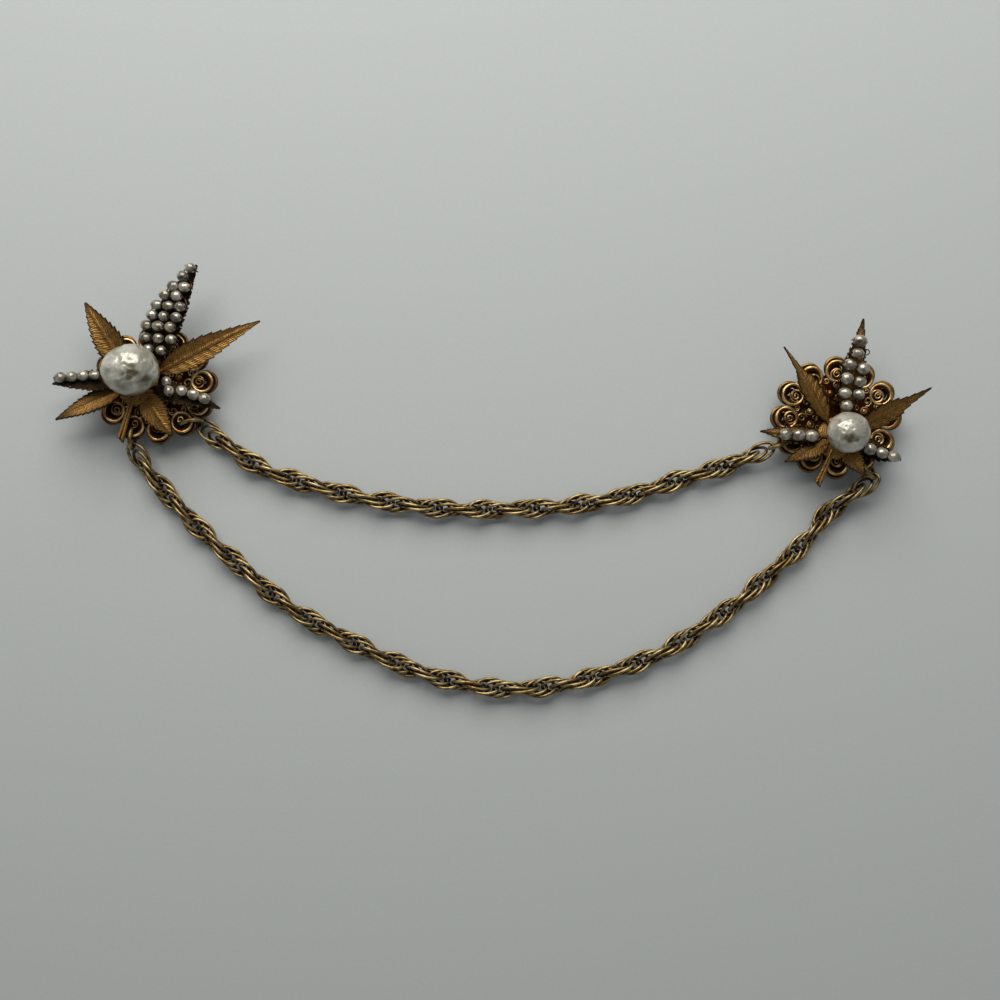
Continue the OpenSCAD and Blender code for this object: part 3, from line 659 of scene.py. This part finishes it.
# where the pearls of a row stand and the way they are drilled, as the solids have them
def seedSpots(brooch, row):
    leaf = brooch["leaves"][row.leaf]
    lift = leafShape["rib"] + brooch["seed"]/2 + seedRow["lift"]
    last = max(row.count - 1, 1)
    ends = []
    for i in (0, last):
        middle, over, up = leafLine(leaf, row.along + i*row.stepAlong)
        ends.append(middle + (row.across + i*row.stepAcross)*over + lift*up)
    run = ends[1] - ends[0]
    way = -over if row.count == 1 else run/np.linalg.norm(run)
    spots = np.array([ends[0] + run*(i/last) for i in range(row.count)])
    return spin(spots, leaf.way) + onSpray(brooch), spin(way, leaf.way)


# a pearl drilled along Z, as a closed lathe shape of radius 1
def drilledPearl():
    rows, around, hole = drilled["rows"], drilled["around"], drilled["hole"]
    start = math.asin(hole)
    angles = [start + (math.pi - 2*start)*i/rows for i in range(rows + 1)]
    outline = [(math.sin(a), -math.cos(a)) for a in angles]
    outline[0] = (hole*drilled["hardly"], outline[0][1] + drilled["chamfer"])
    outline[-1] = (hole*drilled["hardly"], outline[-1][1] - drilled["chamfer"])
    turns = [2*math.pi*j/around for j in range(around)]
    points = [(r*math.cos(a), r*math.sin(a), z) for r, z in outline for a in turns]
    return points, ringFaces(len(outline), around, closed=True)


def pearlPoints(side, brooch):
    rng = random.Random(brooch["pearlSeed"])
    spots, ways, sizes = [], [], []
    for row in brooch["rows"]:
        places, way = seedSpots(brooch, row)
        for place in places:
            spots.append(place)
            ways.append(way)
            sizes.append(rng.uniform(*seedRow["sizes"]))
    return pointMesh(side + "PearlPoints", spots, way=ways, share=sizes)


# each pearl is drilled along "way", rolled round it, drawn out along it and then made lumpy
seedTree = GeometryTree("seedPearls")
radius, longer, squash, uneven, lumps, seed = seedTree.sizes(seedShape)
pearl = seedTree.node("GeometryNodeObjectInfo", None, {"Object": templateObject("pearlTemplate", *drilledPearl())},
                      out="Geometry")
facing = seedTree.node("FunctionNodeAlignRotationToVector", {"axis": "Z"},
                       {"Vector": seedTree.attribute("way", "FLOAT_VECTOR")})
roll = seedTree.node("FunctionNodeAxisAngleToRotation", None,
                     {"Axis": (0, 0, 1), "Angle": seedTree.chance(0.0, 2*math.pi, seed)})
turned = seedTree.node("FunctionNodeRotateRotation", {"rotation_space": "LOCAL"},
                       {"Rotation": facing, "Rotate By": roll})
flat = seedTree.chance(0.0, 1.0, seed + 3)
whole = seedTree.attribute("share")*radius
stretch = seedTree.node("ShaderNodeCombineXYZ", None, {0: whole, 1: whole*(1 - flat*squash),
                                                       2: whole*(1 + longer*(0.4 + flat))})
placed = seedTree.node("GeometryNodeInstanceOnPoints", None, {"Points": seedTree.source, "Instance": pearl,
                                                              "Rotation": turned, "Scale": stretch})
real = seedTree.node("GeometryNodeRealizeInstances", None, {"Geometry": placed})
bumps = seedTree.node("ShaderNodeTexNoise", None, {"Scale": lumps, "Detail": 2.0}, out=1)
centred = seedTree.vector("SUBTRACT", {0: bumps, 1: (0.5, 0.5, 0.5)})
lumpy = seedTree.node("GeometryNodeSetPosition", None, {
    "Geometry": real, "Offset": seedTree.vector("SCALE", {0: centred, "Scale": uneven})})
# painted shade: a seed pearl's skin is marked darker where its lumps push it towards -X
hollowShade = seedTree.node("ShaderNodeSeparateXYZ", None, {0: centred})
marked = seedTree.node("GeometryNodeStoreNamedAttribute", {"data_type": "FLOAT", "domain": "POINT"},
                       {"Geometry": lumpy, "Name": "mark", "Value": hollowShade*-2.2 + 0.3})
seedTree.finish(marked, finishes["seedPearl"])
for side, brooch in brooches.items():
    values = {**seedShape, "Pearl radius": brooch["seed"]/2*mm, "Seed": brooch["lumpSeed"]}
    grow(side + "SeedPearls", seedTree, values, pearlPoints(side, brooch), (side + "_seed_pearls",))
print("seed pearls ready")


# dark knots of thread along both edges of the leaflets that carry pearls, from start to end as shares of the
# leaflet; "inset" is how far in from the edge they are, and "sink" how far down
knotShape = {"Knot radius": 0.36*mm, "Uneven": 0.45, "Seed": 7}
knotRun = {"start": 0.3, "end": 0.98, "gap": 1.15, "jitter": 0.5, "inset": 0.05, "sink": 0.12,
           "sizes": (0.7, 1.15), "tipSize": 0.35}


def knotPoints(side, brooch):
    rng = random.Random(brooch["knotSeed"])
    spots, sizes = [], []
    for number in sorted({row.leaf for row in brooch["rows"]}):
        leaf = brooch["leaves"][number]
        for edge in (-1, 1):
            along = leaf.length*knotRun["start"]
            while along < leaf.length*knotRun["end"]:
                t = along/leaf.length
                half = leaf.width/2*leafWidth(t)*(1 - brooch["teeth"][1]/2) - knotRun["inset"]
                lift = leaf.curl*leafWidth(t) - knotRun["sink"]
                middle, over, up = leafLine(leaf, along)
                spots.append(spin(middle + edge*half*over + lift*up, leaf.way) + onSpray(brooch))
                sizes.append(rng.uniform(*knotRun["sizes"])*min(1, knotRun["tipSize"] + 3*(1 - t)))
                along += knotRun["gap"]*(1 + knotRun["jitter"]*(rng.random() - 0.5))
    return pointMesh(side + "KnotPoints", spots, share=sizes)


knotTree = GeometryTree("threadKnots")
knotRadius, knotUneven, knotSeed = knotTree.sizes(knotShape)
ball = knotTree.node("GeometryNodeMeshUVSphere", None, {"Segments": 10, "Rings": 7, "Radius": 1.0}, out="Mesh")
dice = knotTree.node("FunctionNodeRandomValue", {"data_type": "FLOAT_VECTOR"},
                     {"Min": (0.0, 0.0, 0.0), "Max": (1.0, 1.0, 1.0), "Seed": knotSeed}, out=0)
thinner = knotTree.vector("SCALE", {0: dice, "Scale": knotUneven})
shaped = knotTree.vector("SUBTRACT", {0: (1.0, 1.0, 1.0), 1: thinner})
sized = knotTree.vector("SCALE", {0: shaped, "Scale": knotTree.attribute("share")*knotRadius})
knots = knotTree.node("GeometryNodeInstanceOnPoints", None,
                      {"Points": knotTree.source, "Instance": ball, "Scale": sized})
knotTree.finish(knots, finishes["darkWire"])
for side, brooch in brooches.items():
    grow(side + "ThreadKnots", knotTree, knotShape, knotPoints(side, brooch))
print("thread knots ready")


# the plates are squashed rings of lobes; on them stand rings of wire scrolls, one to a lobe:
# [reach from the middle, half steps round, turn, size, height]
rosetteShape = {"lobes": 12, "squash": 0.92}
scrollShape = {"Size spread": 0.12, "Turn spread": 0.5, "Seed": 3}
scrollLayers = {
    "front": {"base": 4.4, "turns": 1.35, "wire": 0.2,
              "rings": [(6.9, 0, 200, 1.15, 4.9), (5.5, 1, 20, 0.95, 4.9), (8.15, 1, 90, 0.7, 4.9),
                        (9.35, 0, 330, 0.95, 4.95), (4.4, 0, 120, 0.75, 4.9)]},
    "back": {"base": 3.4, "turns": 2.1, "wire": 0.19,
             "rings": [(10.5, 0, 40, 1.45, 3.55), (6.9, 0, 250, 1.1, 3.95), (8.3, 1, 160, 0.9, 3.9)]},
}
scrollCurl = {"steps": 64, "around": 9, "heart": 0.12, "bead": 0.9, "taper": 0.35, "squash": 0.9}


# a wire rolled up in a plane, 1 across its radius, with a bead at its heart
def scrollWire(turns, wire):
    steps, around = scrollCurl["steps"], scrollCurl["around"]
    points = []
    for i in range(steps + 1):
        share = i/steps
        a = 2*math.pi*turns*share
        way = np.array([math.cos(a), math.sin(a), 0])
        middle = way*((1 - wire)*(1 - share)**0.8 + scrollCurl["heart"])
        thick = wire*(1 + scrollCurl["bead"]*share**12 - scrollCurl["taper"]*(1 - share)**8)
        for j in range(around):
            b = 2*math.pi*j/around
            points.append(middle + thick*(math.cos(b)*way + math.sin(b)*np.array([0, 0, 1])))
    faces = ringFaces(steps + 1, around, flip=True)
    faces.append(tuple(range(around)))
    faces.append(tuple(steps*around + j for j in range(around))[::-1])
    return points, faces


def scrollPoints(name, brooch, layer):
    spots, turns, sizes = [], [], []
    scale, (left, front) = brooch["scale"], brooch["rosette"]
    for reach, halfStep, turn, size, height in layer["rings"]:
        for k in range(rosetteShape["lobes"]):
            a = math.radians(brooch["turn"] + (k + halfStep/2)*360/rosetteShape["lobes"])
            spots.append((left + reach*math.cos(a)*scale, front + reach*rosetteShape["squash"]*math.sin(a)*scale,
                          layer["base"] + (height - layer["base"])*scale))
            turns.append(a + math.radians(turn))
            sizes.append(size*scale)
    return pointMesh(name + "ScrollPoints", spots, turn=turns, share=sizes)


def scrollTree(name, template, finish):
    tree = GeometryTree(name)
    spread, turnSpread, seed = tree.sizes(scrollShape)
    wire = tree.node("GeometryNodeObjectInfo", None, {"Object": template}, out="Geometry")
    angle = tree.attribute("turn") + tree.chance(-1.0, 1.0, seed)*turnSpread
    turned = tree.node("FunctionNodeAxisAngleToRotation", None, {"Axis": (0, 0, 1), "Angle": angle})
    size = tree.attribute("share")*(1 + tree.chance(-1.0, 1.0, seed + 1)*spread)*mm
    scale = tree.node("ShaderNodeCombineXYZ", None, {0: size, 1: size*scrollCurl["squash"], 2: size})
    placed = tree.node("GeometryNodeInstanceOnPoints", None,
                       {"Points": tree.source, "Instance": wire, "Rotation": turned, "Scale": scale})
    tree.finish(placed, finish)
    return tree


for name, layer in scrollLayers.items():
    template = templateObject(name + "Scroll", *scrollWire(layer["turns"], layer["wire"]))
    layer["tree"] = scrollTree(name + "Scrolls", template, finishes[name + "Scroll"])
for side, brooch in brooches.items():
    for name, layer in scrollLayers.items():
        grow(side + name.title() + "Scrolls", layer["tree"], scrollShape, scrollPoints(name, brooch, layer))
print("scrolls ready")


# the loose loop of thread that stands out beside the right brooch's top leaflet
threadLoop = {"place": (73.0, 25.3, 8.6), "radius": 0.55, "wire": 0.22, "lean": 20, "around": 28, "sides": 8}


def threadRing():
    around, sides = threadLoop["around"], threadLoop["sides"]
    lean = math.radians(threadLoop["lean"])
    points = []
    for i in range(around):
        a = 2*math.pi*i/around
        for j in range(sides):
            b = 2*math.pi*j/sides
            out = threadLoop["radius"] + threadLoop["wire"]/2*math.cos(b)
            x, y, z = out*math.cos(a), out*math.sin(a), threadLoop["wire"]/2*math.sin(b)
            points.append((x, y*math.cos(lean) - z*math.sin(lean), y*math.sin(lean) + z*math.cos(lean)))
    makePiece("rightThreadLoop", np.array(points) + threadLoop["place"],
              ringFaces(around, sides, closed=True, flip=True), "darkWire")


threadRing()
print("thread loop ready")


tableLook = {"low": colour(181, 185, 182), "high": colour(188, 192, 189), "width": 3.0, "roughness": 0.75,
             "fibre": 1500, "depth": 0.02*mm, "under": 0.01*mm}
reach = tableLook["width"]/2
tableMesh = bpy.data.meshes.new("table")
tableMesh.from_pydata([(-reach, -reach, 0), (reach, -reach, 0), (reach, reach, 0), (-reach, reach, 0)], [],
                      [(0, 1, 2, 3)])
tableFinish = Finish("tableTop")
fibre = tableFinish.speckle(tableLook["fibre"], 3.0)
tableMesh.materials.append(tableFinish.close(
    Base_Color=tableFinish.blend(fibre, tableLook["low"], tableLook["high"]),
    Roughness=tableLook["roughness"], Metallic=0.0, Normal=tableFinish.bump(fibre, tableLook["depth"])))
table = bpy.data.objects.new("table", tableMesh)
table.location.z = -tableLook["under"]
bpy.context.scene.collection.objects.link(table)

# a wide window behind the brooch, and a weak fill from the right
lightLook = {
    "windowLight": {"place": (-0.04, 0.37, 0.34), "aim": (0, 0.1, 0), "size": (0.52, 0.4), "power": 3.1,
                    "tint": (1, 0.985, 0.96)},
    "fillLight": {"place": (0.5, -0.1, 0.6), "aim": (0, 0, 0), "size": (0.5, 0.5), "power": 0.12,
                  "tint": (0.95, 0.98, 1)},
}
roomLook = {"sky": (0.9, 0.95, 1, 1), "strength": 0.19}
for name, look in lightLook.items():
    lamp = bpy.data.lights.new(name, "AREA")
    lamp.shape = "RECTANGLE"
    lamp.size, lamp.size_y = look["size"]
    lamp.energy, lamp.color = look["power"], look["tint"]
    light = bpy.data.objects.new(name, lamp)
    light.location = look["place"]
    light.rotation_euler = (Vector(look["aim"]) - Vector(look["place"])).to_track_quat("-Z", "Y").to_euler()
    bpy.context.scene.collection.objects.link(light)
room = bpy.data.worlds.new("room")
room.use_nodes = True
room.node_tree.nodes["Background"].inputs["Color"].default_value = roomLook["sky"]
room.node_tree.nodes["Background"].inputs["Strength"].default_value = roomLook["strength"]
bpy.context.scene.world = room
bpy.context.scene.view_settings.view_transform = "Standard"

# straight above, as the photo was taken: it shows 200 mm across from 300 mm up
cameraLook = {"place": (1.8*mm, -3.4*mm, 300*mm), "span": 200*mm, "sensor": 36, "near": 0.01, "far": 10}
cameraData = bpy.data.cameras.new("camera")
cameraData.sensor_width = cameraLook["sensor"]
cameraData.lens = cameraLook["sensor"]*cameraLook["place"][2]/cameraLook["span"]
cameraData.clip_start, cameraData.clip_end = cameraLook["near"], cameraLook["far"]
camera = bpy.data.objects.new("camera", cameraData)
camera.location = cameraLook["place"]
bpy.context.scene.collection.objects.link(camera)
bpy.context.scene.camera = camera

bpy.context.view_layer.update()
print("scene ready")
